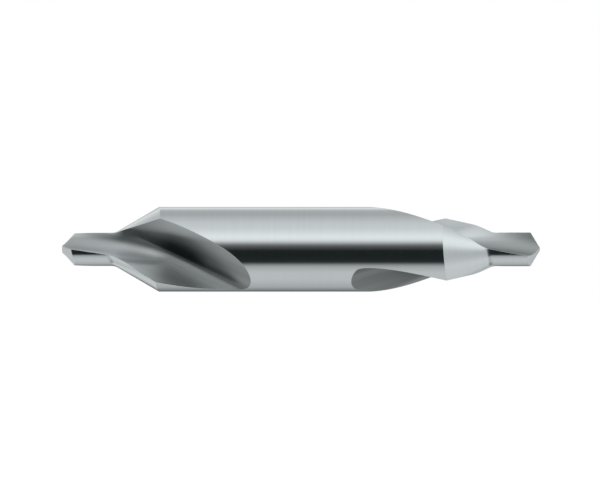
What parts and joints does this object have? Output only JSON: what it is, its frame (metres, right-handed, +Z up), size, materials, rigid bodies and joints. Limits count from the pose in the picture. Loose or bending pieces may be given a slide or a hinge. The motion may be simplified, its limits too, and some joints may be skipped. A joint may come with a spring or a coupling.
{
  "type": "centre drill",
  "caption": "Double-ended centre drill: plain round shank, and at each end a short fluted pilot with a point that widens into a conical countersink.",
  "frame": {"origin": "on the axis of the shank, halfway between the two points", "axes": "+X along the axis towards the end on the right in the picture; -Y faces the viewer; +Z up"},
  "size_m": [0.0564, 0.01, 0.01],
  "materials": {
    "ground_steel": "bright fine-ground"
  },
  "bodies": {
    "root": {"centre_drill": "ground_steel"}
  },
  "joints": []
}
